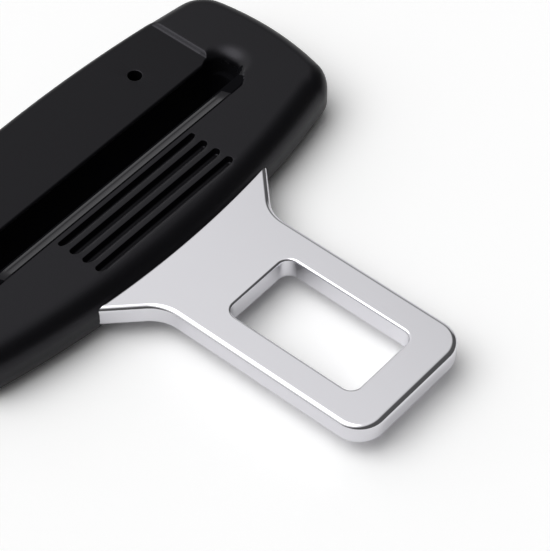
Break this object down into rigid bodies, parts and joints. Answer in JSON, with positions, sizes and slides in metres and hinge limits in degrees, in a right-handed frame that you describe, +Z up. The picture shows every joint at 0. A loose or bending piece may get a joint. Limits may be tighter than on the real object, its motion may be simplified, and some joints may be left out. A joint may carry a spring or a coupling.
{
  "type": "seat belt alarm stopper",
  "caption": "Chromed steel seat belt tongue with a latch window, held in a black moulded head with a webbing slot, a smooth rear panel and grip grooves.",
  "frame": {"origin": "under the middle of the whole object, on the surface that the head lies on", "axes": "+X along the head's width, -Y from the head to the tongue's tip, +Z up out of the face with the grip grooves"},
  "size_m": [0.0732, 0.0704, 0.0079],
  "materials": {
    "chromed_steel": "polished chrome plate over stamped steel",
    "black_plastic": "fine matt grain, smoother on the rear panel, polished on the slot's front lip"
  },
  "bodies": {
    "root": {"tongue_plate": "chromed_steel", "moulded_head": "black_plastic"}
  },
  "joints": []
}
